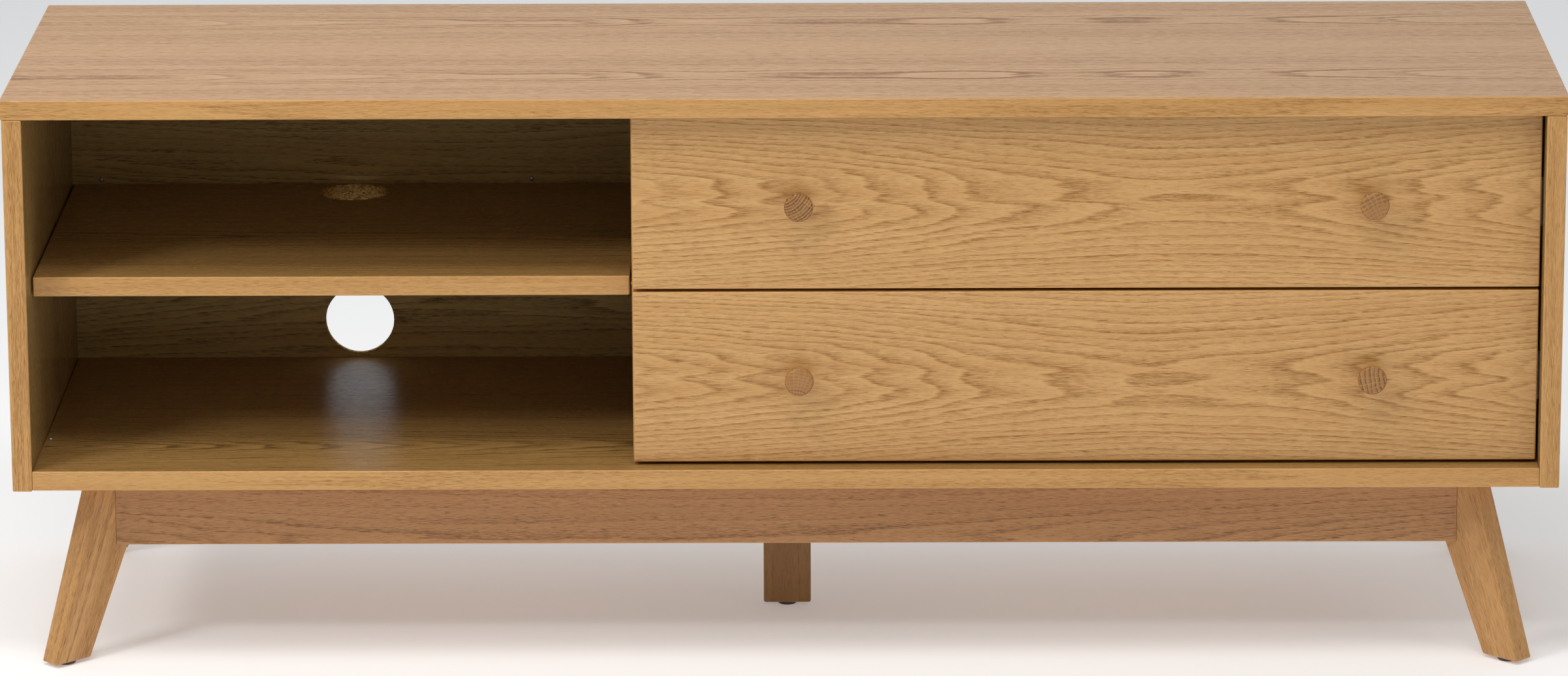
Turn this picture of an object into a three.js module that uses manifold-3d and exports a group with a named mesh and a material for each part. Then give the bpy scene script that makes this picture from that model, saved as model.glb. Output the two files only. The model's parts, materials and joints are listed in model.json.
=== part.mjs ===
// A low oak television bench: two wide drawers on the right, an open bay with one shelf on the left,
// four splayed plank legs on the corner diagonals and one upright centre leg.
// Millimetres. X runs along the bench, Y from the front to the back, Z up from the floor.
// The origin is on the floor, under the centre of the bench's box.

import * as THREE from 'three';
import { mergeVertices } from 'three/addons/utils/BufferGeometryUtils.js';
import { RoundedBoxGeometry } from 'three/addons/geometries/RoundedBoxGeometry.js';
import Module from 'manifold-3d';

// Overall
const benchWidth = 1400;
const benchDepth = 420;
const benchHeight = 530;
const boardThickness = 18;
const edgeEasing = 1.5;
const fineEasing = 1;
const squareEdge = 0;
const joinGap = 0.25;
const largeHoleSegments = 40;
const smallRoundSegments = 12;

// Carcass
const topOverhang = 1.5;
const undersideHeight = 169;
const sideDrop = 1;
const innerSetback = 38;
const dividerPlace = 562;
const backThickness = 5.5;
const backPlace = 409.75;
const backGroove = 6;
const cableHoleRadius = 32.5;
const cableHoleMargin = 37;
const shelfSideGap = 1.75;
const shelfRearGap = 1.75;

// Shelf pins and small fittings
const pinRadius = 2.5;
const pinHoleRadius = 2.9;
const pinLength = 15;
const pinHoleDepth = 8;
const pinFrontInset = 60;
const pinRearInset = 330;
const fittingRadius = 2.5;
const fittingRise = 1.25;
const backPinSpots = { left: 47, right: 457 };
const backPinRise = 3.5;
const floorScrewInset = 24.5;
const floorScrewPlace = 113;

// Drawers
const frontRecess = 18;
const frontThickness = 18;
const frontGap = 2.75;
const frontSideGap = 2.25;
const frontDividerReveal = 1;
const boxWall = 12;
const boxHeight = 120;
const boxLength = 350;
const boxRise = 14;
const boxFloorThickness = 6;
const boxFloorRise = 12;
const knobInset = 150;
const knobLength = 20;
const knobHeadRadius = 13;
const knobHeadThickness = 4;
const knobRimRadius = 2.5;
const knobCrown = 0.25;
const knobNeckRadius = 7;
const knobBaseRadius = 8;
const knobNeckRise = 4;
const knobSegments = 28;
const knobArcSteps = 4;
const screwRadius = 2;
const screwHeadRadius = 4;
const screwHeadHeight = 2.25;
const screwReach = 10;
const screwClearance = 0.3;

// Ball-bearing runners: three nested channels a side
const runnerLength = 350;
const runnerWidth = 12.75;
const runnerSheet = 1.25;
const runnerStart = 38.5;
const runnerSections = [
  { part: 'cabinet', halfHeight: 22.5, web: 0, tip: 10 },
  { part: 'middle', halfHeight: 19.5, web: 2, tip: 11 },
  { part: 'drawer', halfHeight: 16.5, web: runnerWidth - runnerSheet, tip: 4.5 },
];

// Under-frame
const railThickness = 22;
const railHeight = 66;
const railSetback = 53;
const legThickness = 22;
const legLineInset = 19.5;
const legFootSetback = 11.5;
const legFootWidth = 40;
const legTopSetback = 69.5;
const legTopWidth = 64.5;
const legCornerRadius = 3;
const legEasing = 1.5;
const centreLegWidth = 44;
const glideRadius = 9;
const glideHeight = 3;
const glideEasing = 1;
const glideSegments = 20;

// Places worked out from the dimensions above
const knobProud = knobLength + joinGap - frontRecess;
const frontY = knobProud - (benchDepth + knobProud) / 2;
const backY = frontY + benchDepth;
const middleY = (frontY + backY) / 2;
const halfWidth = benchWidth / 2;
const sideOuterX = halfWidth - topOverhang;
const sideInnerX = sideOuterX - boardThickness;
const topUnderside = benchHeight - boardThickness;
const bayFloor = undersideHeight + boardThickness;
const dividerLeftX = dividerPlace - halfWidth;
const dividerRightX = dividerLeftX + boardThickness;
const innerFrontY = frontY + innerSetback;
const backFrontY = frontY + backPlace;
const bayCentreX = (dividerLeftX - sideInnerX) / 2;
const shelfMiddle = (bayFloor + topUnderside) / 2;
const shelfUnderside = shelfMiddle - boardThickness / 2;
const shelfTop = shelfMiddle + boardThickness / 2;
const railUnderside = undersideHeight - railHeight;
const frontHeight = (topUnderside - bayFloor - 3 * frontGap) / 2;

const wasm = await Module();
wasm.setup();

const bench = new THREE.Group();

// Finishes, one for each kind of surface
const finishes = {
  topVeneer: { color: 0xbd9d7f, roughness: 0.5, metalness: 0 },
  frontVeneer: { color: 0xba8e5c, roughness: 0.5, metalness: 0 },
  carcassVeneer: { color: 0xb68b5a, roughness: 0.5, metalness: 0 },
  solidOak: { color: 0xb0845a, roughness: 0.55, metalness: 0 },
  railOak: { color: 0x9d724b, roughness: 0.55, metalness: 0 },
  knobOak: { color: 0x96704c, roughness: 0.5, metalness: 0 },
  drawerBoard: { color: 0xc9b08a, roughness: 0.6, metalness: 0 },
  steel: { color: 0xb8bbbd, roughness: 0.35, metalness: 1 },
  plastic: { color: 0x4a3a2c, roughness: 0.6, metalness: 0 },
};

function addPiece(name, geometry, finish, parent = bench) {
  const mesh = new THREE.Mesh(geometry, new THREE.MeshStandardMaterial(finishes[finish]));
  mesh.name = name;
  parent.add(mesh);
  return mesh;
}

// A board that fills the box between two corners; an easing above zero rounds its edges.
function addBoard(name, low, high, finish, easing = edgeEasing) {
  const [width, depth, height] = high.map((end, i) => end - low[i]);
  const geometry = easing > 0
    ? new RoundedBoxGeometry(width, depth, height, 1, easing)
    : new THREE.BoxGeometry(width, depth, height);
  const mesh = addPiece(name, geometry, finish);
  mesh.position.set(...high.map((end, i) => (end + low[i]) / 2));
  return mesh;
}

function toSolid(geometry) {
  const plain = geometry.clone();
  plain.deleteAttribute('normal');
  plain.deleteAttribute('uv');
  const merged = mergeVertices(plain);
  const mesh = new wasm.Mesh({
    numProp: 3,
    vertProperties: Float32Array.from(merged.attributes.position.array),
    triVerts: Uint32Array.from(merged.index.array),
  });
  return new wasm.Manifold(mesh);
}

function toGeometry(solid) {
  const { vertProperties, triVerts } = solid.getMesh();
  const geometry = new THREE.BufferGeometry();
  geometry.setAttribute('position', new THREE.BufferAttribute(vertProperties, 3));
  geometry.setIndex(new THREE.BufferAttribute(triVerts, 1));
  return geometry;
}

// Cuts a shape, given in the bench's own coordinates, out of an unturned mesh.
function cutFrom(mesh, cutter) {
  const local = cutter.clone().translate(-mesh.position.x, -mesh.position.y, -mesh.position.z);
  mesh.geometry = toGeometry(toSolid(mesh.geometry).subtract(toSolid(local)));
}

function boxBetween(low, high) {
  const [width, depth, height] = high.map((end, i) => end - low[i]);
  const centre = high.map((end, i) => (end + low[i]) / 2);
  return new THREE.BoxGeometry(width, depth, height).translate(...centre);
}

// A straight round cutter along Y, or turned to run along X or Z.
function rod(radius, length, axis, centre, segments) {
  const geometry = new THREE.CylinderGeometry(radius, radius, length, segments);
  if (axis === 'x') geometry.rotateZ(Math.PI / 2);
  if (axis === 'z') geometry.rotateX(Math.PI / 2);
  return geometry.translate(...centre);
}

// A turned piece. The profile holds [radius, height along the axis] from the axis up and back to it.
function turned(profile, segments) {
  const points = profile.map(([radius, along]) => new THREE.Vector2(radius, along));
  return new THREE.LatheGeometry(points, segments);
}

// A low dome on the plane at height zero, closed below.
function domeGeometry(radius, rise) {
  const shoulder = Math.PI / 4;
  return turned(
    [[0, 0], [radius, 0], [radius * Math.cos(shoulder), rise * Math.sin(shoulder)], [0, rise]],
    smallRoundSegments,
  );
}

function addCarcass() {
  const top = addBoard(
    'top_panel',
    [-halfWidth, frontY, topUnderside],
    [halfWidth, backY, benchHeight],
    'topVeneer',
  );
  const bottom = addBoard(
    'bottom_panel',
    [-sideInnerX, frontY, undersideHeight],
    [sideInnerX, backY, bayFloor],
    'carcassVeneer',
  );
  const leftSide = addBoard(
    'left_side_panel',
    [-sideOuterX, frontY, undersideHeight - sideDrop],
    [-sideInnerX, backY, topUnderside],
    'carcassVeneer',
  );
  const rightSide = addBoard(
    'right_side_panel',
    [sideInnerX, frontY, undersideHeight - sideDrop],
    [sideOuterX, backY, topUnderside],
    'carcassVeneer',
  );
  const divider = addBoard(
    'centre_divider',
    [dividerLeftX, innerFrontY, bayFloor],
    [dividerRightX, backFrontY - joinGap, topUnderside],
    'carcassVeneer',
  );

  // The back panel sits in a groove round the inside of the carcass.
  const groove = boxBetween(
    [-sideInnerX - backGroove, backFrontY - joinGap, bayFloor - backGroove],
    [sideInnerX + backGroove, backFrontY + backThickness + joinGap, topUnderside + backGroove],
  );
  for (const board of [top, bottom, leftSide, rightSide]) cutFrom(board, groove);
  const reach = backGroove - joinGap;
  const back = addBoard(
    'back_panel',
    [-sideInnerX - reach, backFrontY, bayFloor - reach],
    [sideInnerX + reach, backFrontY + backThickness, topUnderside + reach],
    'carcassVeneer',
    squareEdge,
  );
  const holeCentre = [bayCentreX, backFrontY + backThickness / 2, bayFloor + cableHoleMargin];
  cutFrom(back, rod(cableHoleRadius, boardThickness, 'y', holeCentre, largeHoleSegments));
  addBayPins(leftSide, divider);
}

// Four pins carry the shelf, each half in a hole in the side panel or the divider.
function addBayPins(leftSide, divider) {
  const pinHeight = shelfUnderside - pinRadius - joinGap;
  const walls = [
    { side: 'left', board: leftSide, wallX: -sideInnerX, into: -1 },
    { side: 'right', board: divider, wallX: dividerLeftX, into: 1 },
  ];
  for (const { side, board, wallX, into } of walls) {
    for (const [place, inset] of [['front', pinFrontInset], ['rear', pinRearInset]]) {
      const y = innerFrontY + inset;
      const holeCentre = [wallX + into * pinHoleDepth / 2, y, pinHeight];
      cutFrom(board, rod(pinHoleRadius, pinHoleDepth, 'x', holeCentre, smallRoundSegments));
      const pin = addPiece(
        `shelf_pin_${place}_${side}`,
        rod(pinRadius, pinLength, 'x', [0, 0, 0], smallRoundSegments),
        'steel',
      );
      pin.position.set(wallX + into * (pinHoleDepth - joinGap - pinLength / 2), y, pinHeight);
    }
  }
}

function addBayShelf() {
  const shelf = addBoard(
    'bay_shelf',
    [-sideInnerX + shelfSideGap, innerFrontY, shelfUnderside],
    [dividerLeftX - shelfSideGap, backFrontY - shelfRearGap, shelfTop],
    'carcassVeneer',
  );
  const holeY = backFrontY - shelfRearGap - cableHoleMargin;
  const holeCentre = [bayCentreX, holeY, shelfMiddle];
  cutFrom(shelf, rod(cableHoleRadius, 2 * boardThickness, 'z', holeCentre, largeHoleSegments));
}

// Small domed heads: two pins on the back panel just above the shelf, one screw in the bay floor.
function addFittings() {
  const dome = domeGeometry(fittingRadius, fittingRise);
  for (const [side, inset] of Object.entries(backPinSpots)) {
    const pin = addPiece(`back_pin_${side}`, dome.clone().rotateX(Math.PI), 'steel');
    pin.position.set(inset - halfWidth, backFrontY - joinGap, shelfTop + backPinRise);
  }
  const screw = addPiece('bay_floor_screw', dome.clone().rotateX(Math.PI / 2), 'steel');
  screw.position.set(floorScrewInset - halfWidth, frontY + floorScrewPlace, bayFloor + joinGap);
}

// Points along a quarter turn, from zero to one, with both ends.
function quarterTurn(steps) {
  return Array.from({ length: steps + 1 }, (_, i) => (i / steps) * (Math.PI / 2));
}

// A foot, a narrow neck that flares out to the head, a rounded rim and a face with a slight crown.
// The screw's blind bore runs in from the foot.
function knobGeometry() {
  const bore = screwRadius + screwClearance;
  const boreDepth = screwReach + screwClearance;
  const headStart = knobLength - knobHeadThickness;
  const rimStart = knobLength - knobCrown - knobRimRadius;
  const flare = quarterTurn(knobArcSteps).map((turn) => [
    knobNeckRadius + (knobHeadRadius - knobNeckRadius) * (1 - Math.cos(turn)),
    knobNeckRise + (headStart - knobNeckRise) * Math.sin(turn),
  ]);
  const rim = quarterTurn(knobArcSteps).map((turn) => [
    knobHeadRadius - knobRimRadius * (1 - Math.cos(turn)),
    rimStart + knobRimRadius * Math.sin(turn),
  ]);
  const bored = [[0, boreDepth], [bore, boreDepth], [bore, 0], [knobBaseRadius, 0]];
  return turned([...bored, ...flare, ...rim, [0, knobLength]], knobSegments).rotateX(Math.PI);
}

// The screw's head bears on the inner face of the drawer front; its shank runs into the knob.
function screwGeometry() {
  const shankEnd = frontThickness + screwReach - joinGap;
  const head = quarterTurn(2).slice(0, -1).reverse().map((turn) => [
    screwHeadRadius * Math.cos(turn),
    -screwHeadHeight * Math.sin(turn),
  ]);
  const shank = [[screwRadius, 0], [screwRadius, shankEnd], [0, shankEnd]];
  return turned([[0, -screwHeadHeight], ...head, ...shank], smallRoundSegments).rotateX(Math.PI);
}

function addDrawer(level, frontLow) {
  const frontLeftX = dividerLeftX + frontDividerReveal;
  const frontRightX = sideInnerX - frontSideGap;
  const frontFaceY = frontY + frontRecess;
  const frontBackY = frontFaceY + frontThickness;
  const frontHigh = frontLow + frontHeight;
  const front = addBoard(
    `${level}_drawer_front`,
    [frontLeftX, frontFaceY, frontLow],
    [frontRightX, frontBackY, frontHigh],
    'frontVeneer',
  );

  const boxLeftX = dividerRightX + runnerWidth;
  const boxRightX = sideInnerX - runnerWidth;
  const boxLow = frontLow + boxRise;
  const boxBackY = frontBackY + boxLength;
  const innerLeftX = boxLeftX + boxWall;
  const innerRightX = boxRightX - boxWall;
  const boxHigh = boxLow + boxHeight;
  for (const [side, low, high] of [['left', boxLeftX, innerLeftX], ['right', innerRightX, boxRightX]]) {
    addBoard(
      `${level}_drawer_${side}_side`,
      [low, frontBackY, boxLow],
      [high, boxBackY, boxHigh],
      'drawerBoard',
      fineEasing,
    );
  }
  addBoard(
    `${level}_drawer_back`,
    [innerLeftX, boxBackY - boxWall, boxLow],
    [innerRightX, boxBackY, boxHigh],
    'drawerBoard',
    fineEasing,
  );
  addBoard(
    `${level}_drawer_bottom`,
    [innerLeftX, frontBackY, boxLow + boxFloorRise],
    [innerRightX, boxBackY - boxWall, boxLow + boxFloorRise + boxFloorThickness],
    'drawerBoard',
    squareEdge,
  );

  const knobHeight = (frontLow + frontHigh) / 2;
  for (const [side, x] of [['left', frontLeftX + knobInset], ['right', frontRightX - knobInset]]) {
    const boreCentre = [x, frontFaceY + frontThickness / 2, knobHeight];
    const bore = rod(screwRadius + screwClearance, 2 * frontThickness, 'y', boreCentre, smallRoundSegments);
    cutFrom(front, bore);
    const knob = addPiece(`${level}_${side}_knob`, knobGeometry(), 'knobOak');
    knob.position.set(x, frontFaceY - joinGap, knobHeight);
    const screw = addPiece(`${level}_${side}_knob_screw`, screwGeometry(), 'steel');
    screw.position.set(x, frontBackY + joinGap, knobHeight);
  }
  addRunners(level, boxLow + boxHeight / 2);
}

// One channel: a web with a flange at its top and its bottom, drawn in X and Z and run along Y.
function channelGeometry({ halfHeight, web, tip }, out) {
  const inner = web < tip ? web + runnerSheet : web;
  const outer = web < tip ? web : web + runnerSheet;
  const flange = halfHeight - runnerSheet;
  const outline = [
    [outer, -halfHeight],
    [tip, -halfHeight],
    [tip, -flange],
    [inner, -flange],
    [inner, flange],
    [tip, flange],
    [tip, halfHeight],
    [outer, halfHeight],
  ];
  const shape = new THREE.Shape(outline.map(([x, z]) => new THREE.Vector2(out * x, z)));
  const settings = { depth: runnerLength, bevelEnabled: false };
  return new THREE.ExtrudeGeometry(shape, settings).rotateX(Math.PI / 2);
}

function addRunners(level, height) {
  const walls = [
    { side: 'left', wallX: dividerRightX, out: 1 },
    { side: 'right', wallX: sideInnerX, out: -1 },
  ];
  for (const { side, wallX, out } of walls) {
    for (const section of runnerSections) {
      const name = `${level}_${side}_runner_${section.part}`;
      const channel = addPiece(name, channelGeometry(section, out), 'steel');
      channel.position.set(wallX, frontY + runnerStart + runnerLength, height);
    }
  }
}

// A rail outline in plan, both ends cut at 45 degrees to lie along the wide faces of two legs.
// It runs along local X; its outer face is railSetback behind the line between the leg corners.
function railGeometry(cornerDistance, faceShift) {
  const outerHalf = cornerDistance / 2 + faceShift - railSetback - joinGap;
  const innerHalf = outerHalf - railThickness;
  const shape = new THREE.Shape([
    new THREE.Vector2(-outerHalf, railSetback),
    new THREE.Vector2(outerHalf, railSetback),
    new THREE.Vector2(innerHalf, railSetback + railThickness),
    new THREE.Vector2(-innerHalf, railSetback + railThickness),
  ]);
  return new THREE.ExtrudeGeometry(shape, { depth: railHeight - joinGap, bevelEnabled: false });
}

// How far a leg's outer and inner edges lie in from its corner, along the diagonal, at a height.
function legOuterAt(height) {
  return legFootSetback + ((legTopSetback - legFootSetback) * height) / undersideHeight;
}

function legInnerAt(height) {
  const width = legFootWidth + ((legTopWidth - legFootWidth) * height) / undersideHeight;
  return legOuterAt(height) + width;
}

// A splayed leg, drawn in its own diagonal plane: X points in along the diagonal, Y is up.
function legGeometry() {
  const top = undersideHeight - joinGap;
  const foot = glideHeight;
  const turn = foot + legCornerRadius;
  const shape = new THREE.Shape();
  shape.moveTo(legOuterAt(foot) + legCornerRadius, foot);
  shape.lineTo(legInnerAt(foot) - legCornerRadius, foot);
  shape.quadraticCurveTo(legInnerAt(foot), foot, legInnerAt(turn), turn);
  shape.lineTo(legInnerAt(top), top);
  shape.lineTo(legOuterAt(top), top);
  shape.lineTo(legOuterAt(turn), turn);
  shape.quadraticCurveTo(legOuterAt(foot), foot, legOuterAt(foot) + legCornerRadius, foot);
  return new THREE.ExtrudeGeometry(shape, {
    depth: legThickness - 2 * legEasing,
    curveSegments: 3,
    bevelEnabled: true,
    bevelSize: legEasing,
    bevelOffset: -legEasing,
    bevelThickness: legEasing,
    bevelSegments: 1,
  });
}

function glideGeometry() {
  const top = glideHeight - joinGap;
  return turned(
    [[0, 0], [glideRadius - glideEasing, 0], [glideRadius, glideEasing], [glideRadius, top], [0, top]],
    glideSegments,
  ).rotateX(Math.PI / 2);
}

function addUnderframe() {
  const cornerX = halfWidth - legLineInset;
  const faceShift = -legThickness / Math.SQRT2;
  for (const [place, y, facing] of [['front', frontY, 1], ['rear', backY, -1]]) {
    const rail = addPiece(`${place}_apron`, railGeometry(2 * cornerX, faceShift), 'railOak');
    rail.position.set(0, y, railUnderside);
    if (facing < 0) rail.rotation.z = Math.PI;
  }
  for (const [side, x] of [['left', -cornerX], ['right', cornerX]]) {
    const rail = addPiece(`${side}_rail`, railGeometry(benchDepth, faceShift), 'railOak');
    rail.position.set(x, middleY, railUnderside);
    rail.rotation.z = x < 0 ? -Math.PI / 2 : Math.PI / 2;
  }
  for (const [place, y, alongY] of [['front', frontY, 1], ['rear', backY, -1]]) {
    for (const [side, x, alongX] of [['left', -cornerX, 1], ['right', cornerX, -1]]) {
      const corner = new THREE.Group();
      corner.position.set(x, y, 0);
      corner.rotation.z = Math.atan2(alongY, alongX);
      bench.add(corner);
      const leg = addPiece(`${place}_${side}_leg`, legGeometry(), 'solidOak', corner);
      leg.rotation.x = Math.PI / 2;
      leg.position.y = legThickness / 2 - legEasing;
      const glide = addPiece(`${place}_${side}_glide`, glideGeometry(), 'plastic', corner);
      glide.position.x = (legOuterAt(glideHeight) + legInnerAt(glideHeight)) / 2;
    }
  }

  const railReach = benchDepth / 2 - railSetback - railThickness;
  addBoard(
    'centre_rail',
    [-railThickness / 2, middleY - railReach + joinGap, railUnderside],
    [railThickness / 2, middleY + railReach - joinGap, undersideHeight - joinGap],
    'railOak',
    fineEasing,
  );
  addBoard(
    'centre_leg',
    [-centreLegWidth / 2, middleY - legThickness / 2, glideHeight],
    [centreLegWidth / 2, middleY + legThickness / 2, railUnderside - joinGap],
    'railOak',
    legCornerRadius,
  );
  const glide = addPiece('centre_glide', glideGeometry(), 'plastic');
  glide.position.set(0, middleY, 0);
}

addCarcass();
addBayShelf();
addFittings();
addDrawer('lower', bayFloor + frontGap);
addDrawer('upper', bayFloor + 2 * frontGap + frontHeight);
addUnderframe();

export default bench;
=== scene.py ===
import json
import math
from dataclasses import dataclass, replace

import bmesh
import bpy
from mathutils import Matrix, Vector


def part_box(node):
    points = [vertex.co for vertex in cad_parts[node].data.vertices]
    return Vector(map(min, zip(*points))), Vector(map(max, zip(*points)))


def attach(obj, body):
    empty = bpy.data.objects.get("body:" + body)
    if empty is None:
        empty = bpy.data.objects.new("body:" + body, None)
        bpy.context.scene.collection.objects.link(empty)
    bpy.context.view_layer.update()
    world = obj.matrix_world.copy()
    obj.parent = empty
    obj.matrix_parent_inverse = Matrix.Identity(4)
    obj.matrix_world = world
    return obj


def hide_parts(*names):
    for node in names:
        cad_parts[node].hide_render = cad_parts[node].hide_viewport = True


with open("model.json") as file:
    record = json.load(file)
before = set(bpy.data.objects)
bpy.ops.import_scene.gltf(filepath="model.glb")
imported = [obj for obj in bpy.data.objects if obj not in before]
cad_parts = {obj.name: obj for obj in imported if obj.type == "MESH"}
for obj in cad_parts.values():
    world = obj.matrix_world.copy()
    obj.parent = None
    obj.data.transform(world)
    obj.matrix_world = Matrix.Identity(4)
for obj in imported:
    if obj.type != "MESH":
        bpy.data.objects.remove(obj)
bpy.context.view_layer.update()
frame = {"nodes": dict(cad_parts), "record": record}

# Metres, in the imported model's frame: X along the bench, Y from front to back, Z up from the floor.
# Only the grain of the wood is in millimetres.

X_AXIS = Vector((1, 0, 0))
Y_AXIS = Vector((0, 1, 0))
Z_AXIS = Vector((0, 0, 1))
MM = 0.001
TO_MM = 1000
WHITE = (1, 1, 1)

# Easings and sizes of the pieces
BOARD_EASING = 1.5 * MM
FINE_EASING = 1.0 * MM
LEG_EASING = 2.0 * MM
DRAWER_BOARD_EASING = 0.8 * MM
BACK_PANEL_EASING = 0.2 * MM
EASING_SEGMENTS = 4
FLAT_WEIGHT = 80
FACE_LEAN = 0.9
GROOVE_SLACK = 0.25 * MM
CABLE_HOLE_RADIUS = 32.5 * MM
CABLE_HOLE_LIP = 0.6 * MM
CABLE_HOLE_SEGMENTS = 96
KNOB_SEGMENTS = 64
LEG_FOOT_WIDTH = 40 * MM
LEG_TOP_WIDTH = 64.5 * MM
LEG_THICKNESS = 22 * MM
FLOOR_SIZE = 60
FLOOR_CELLS = 8

# The material slots of a board
FACE, EDGE, CUT, REVERSE = range(4)

# Each knob's turn of the grain in degrees, and how strongly its growth rings show
KNOBS = {
    "upper_left": (38, 2.2),
    "lower_left": (170, 0.7),
    "upper_right": (205, 0.7),
    "lower_right": (278, 1.2),
}

# Camera, placed from the middle of the top's front edge
CAMERA_SIDE = 0.045
CAMERA_DISTANCE = 6.2135
CAMERA_RISE = 1.380
CAMERA_YAW = math.radians(0.42)
CAMERA_PITCH = math.radians(14.44)
CAMERA_ROLL = math.radians(0.26)
CAMERA_LENS = 164.0
CAMERA_SENSOR = 36.0
CAMERA_REACH = 100

# Soft boxes: name, place, target, width, height, power in watts and colour
SOFT_BOXES = [
    ("key_light", (-0.6, -1.3, 3.2), (-0.1, -0.1, 0.4), 3.2, 0.9, 55, (1.0, 0.99, 0.97)),
    ("left_light", (-2.4, -2.1, 2.4), (0, 0, 0.3), 0.8, 0.5, 34, WHITE),
    ("right_light", (3.6, -2.4, 0.9), (0, 0, 0.3), 1.5, 1.2, 9, WHITE),
    ("right_fill", (3.2, -2.6, 2.8), (0, 0, 0.3), 2.0, 1.8, 12, WHITE),
    ("overhead_light", (0, 0.5, 3.3), (0, 0.3, 0.5), 3.0, 1.6, 5, WHITE),
]

# The world: its levels in front and behind, and the Y of the directions between which one turns
# into the other
FRONT_LEVEL = 0.2
REAR_LEVEL = 0.58
REAR_START = -0.1
REAR_FULL = 0.5
SURROUND_COLOUR = (0.94, 0.97, 1.0, 1)
BACKDROP_COLOUR = (0.93, 0.94, 0.95, 1)
# The floor's glow is painted light: it lifts the shade under and around the bench
FLOOR_PAINTED_GLOW = 0.25

scene = bpy.context.scene
SLOT_OF = {part["node"]: part["material_slot"] for part in frame["record"]["subparts"]}
BODY_OF = {
    node: body
    for body, nodes in frame["record"]["behaviour"]["bodies"].items()
    for node in nodes
}


# ---------------------------------------------------------------- shader building

class Graph:
    """Adds nodes to a material or world. Values are plain numbers or sockets of nodes made before."""

    def __init__(self, owner):
        owner.use_nodes = True
        self.owner = owner
        self.tree = owner.node_tree
        self.tree.nodes.clear()

    def add(self, kind, inputs=None, **settings):
        node = self.tree.nodes.new(kind)
        for key, value in settings.items():
            setattr(node, key, value)
        for key, value in (inputs or {}).items():
            self.feed(node.inputs[key], value)
        return node

    def feed(self, socket, value):
        if isinstance(value, bpy.types.NodeSocket):
            self.tree.links.new(value, socket)
        else:
            socket.default_value = value

    def math(self, operation, *values, clamp=False):
        inputs = dict(enumerate(values))
        return self.add("ShaderNodeMath", inputs, operation=operation, use_clamp=clamp).outputs[0]

    def vector(self, operation, *values):
        node = self.add("ShaderNodeVectorMath", dict(enumerate(values)), operation=operation)
        return node.outputs["Value" if operation == "DOT_PRODUCT" else "Vector"]

    def combine(self, x, y, z):
        return self.add("ShaderNodeCombineXYZ", {0: x, 1: y, 2: z}).outputs[0]

    def separate(self, vector):
        return self.add("ShaderNodeSeparateXYZ", {0: vector}).outputs

    def mix(self, factor, first, second):
        """A mix of two colours. The node's colour sockets are inputs 6 and 7 and output 2."""
        return self.add("ShaderNodeMix", {0: factor, 6: first, 7: second}, data_type="RGBA").outputs[2]

    def step(self, value, start, end, low=0.0, high=1.0):
        """A smooth step from low to high as value goes from start to end."""
        inputs = {0: value, 1: start, 2: end, 3: low, 4: high}
        return self.add("ShaderNodeMapRange", inputs, interpolation_type="SMOOTHSTEP").outputs[0]

    def ramp(self, value, stops):
        """A grey level that goes through the stops, each a place and a level."""
        node = self.add("ShaderNodeValToRGB", {0: value})
        elements = node.color_ramp.elements
        while len(elements) < len(stops):
            elements.new(0.5)
        for element, (place, level) in zip(elements, stops):
            element.position = place
            element.color = (level, level, level, 1)
        return node.outputs[0]

    def noise(self, vector, detail=2.0, roughness=0.5):
        inputs = {"Vector": vector, "Scale": 1.0, "Detail": detail, "Roughness": roughness}
        return self.add("ShaderNodeTexNoise", inputs).outputs[0]

    def place(self):
        return self.add("ShaderNodeTexCoord").outputs["Object"]

    def scaled_place(self, x, y, z):
        return self.vector("MULTIPLY", self.place(), (x, y, z))

    def even_noise(self, per_metre, detail):
        return self.noise(self.scaled_place(per_metre, per_metre, per_metre), detail)

    def finish(self, tint, roughness, height, depth, **constants):
        """Ends a material. depth is the bump's depth in metres where height goes from 0 to 1."""
        bump = self.add("ShaderNodeBump", {"Strength": 1.0, "Distance": depth, "Height": height})
        inputs = {"Base Color": tint, "Roughness": roughness, "Normal": bump.outputs[0]}
        shader = self.add("ShaderNodeBsdfPrincipled", inputs)
        for key, value in constants.items():
            shader.inputs[key.replace("_", " ")].default_value = value
        self.add("ShaderNodeOutputMaterial", {"Surface": shader.outputs[0]})
        return self.owner


def material_graph(name):
    return Graph(bpy.data.materials.new(name))


def colour(red, green, blue):
    """A linear colour from sRGB parts of 255."""
    def linear(part):
        share = part / 255
        return share / 12.92 if share <= 0.04045 else ((share + 0.055) / 1.055) ** 2.4
    return (linear(red), linear(green), linear(blue), 1)


# ---------------------------------------------------------------- camera, floor and light

def add_camera():
    top_low, top_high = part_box("top_panel")
    data = bpy.data.cameras.new("photo_camera")
    data.sensor_width = CAMERA_SENSOR
    data.lens = CAMERA_LENS
    data.clip_end = CAMERA_REACH
    camera = bpy.data.objects.new("photo_camera", data)
    scene.collection.objects.link(camera)
    place = Vector((CAMERA_SIDE, top_low.y - CAMERA_DISTANCE, top_high.z + CAMERA_RISE))
    turn = (
        Matrix.Rotation(CAMERA_YAW, 4, "Z")
        @ Matrix.Rotation(math.pi / 2 - CAMERA_PITCH, 4, "X")
        @ Matrix.Rotation(-CAMERA_ROLL, 4, "Z")
    )
    camera.matrix_world = Matrix.Translation(place) @ turn
    scene.camera = camera


def add_soft_box(name, place, target, width, height, power, tint):
    data = bpy.data.lights.new(name, "AREA")
    data.shape = "RECTANGLE"
    data.size = width
    data.size_y = height
    data.energy = power
    data.color = tint
    light = bpy.data.objects.new(name, data)
    scene.collection.objects.link(light)
    aim = (Vector(target) - Vector(place)).to_track_quat("-Z", "Y")
    light.matrix_world = Matrix.Translation(place) @ aim.to_matrix().to_4x4()
    light.visible_camera = False


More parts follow.
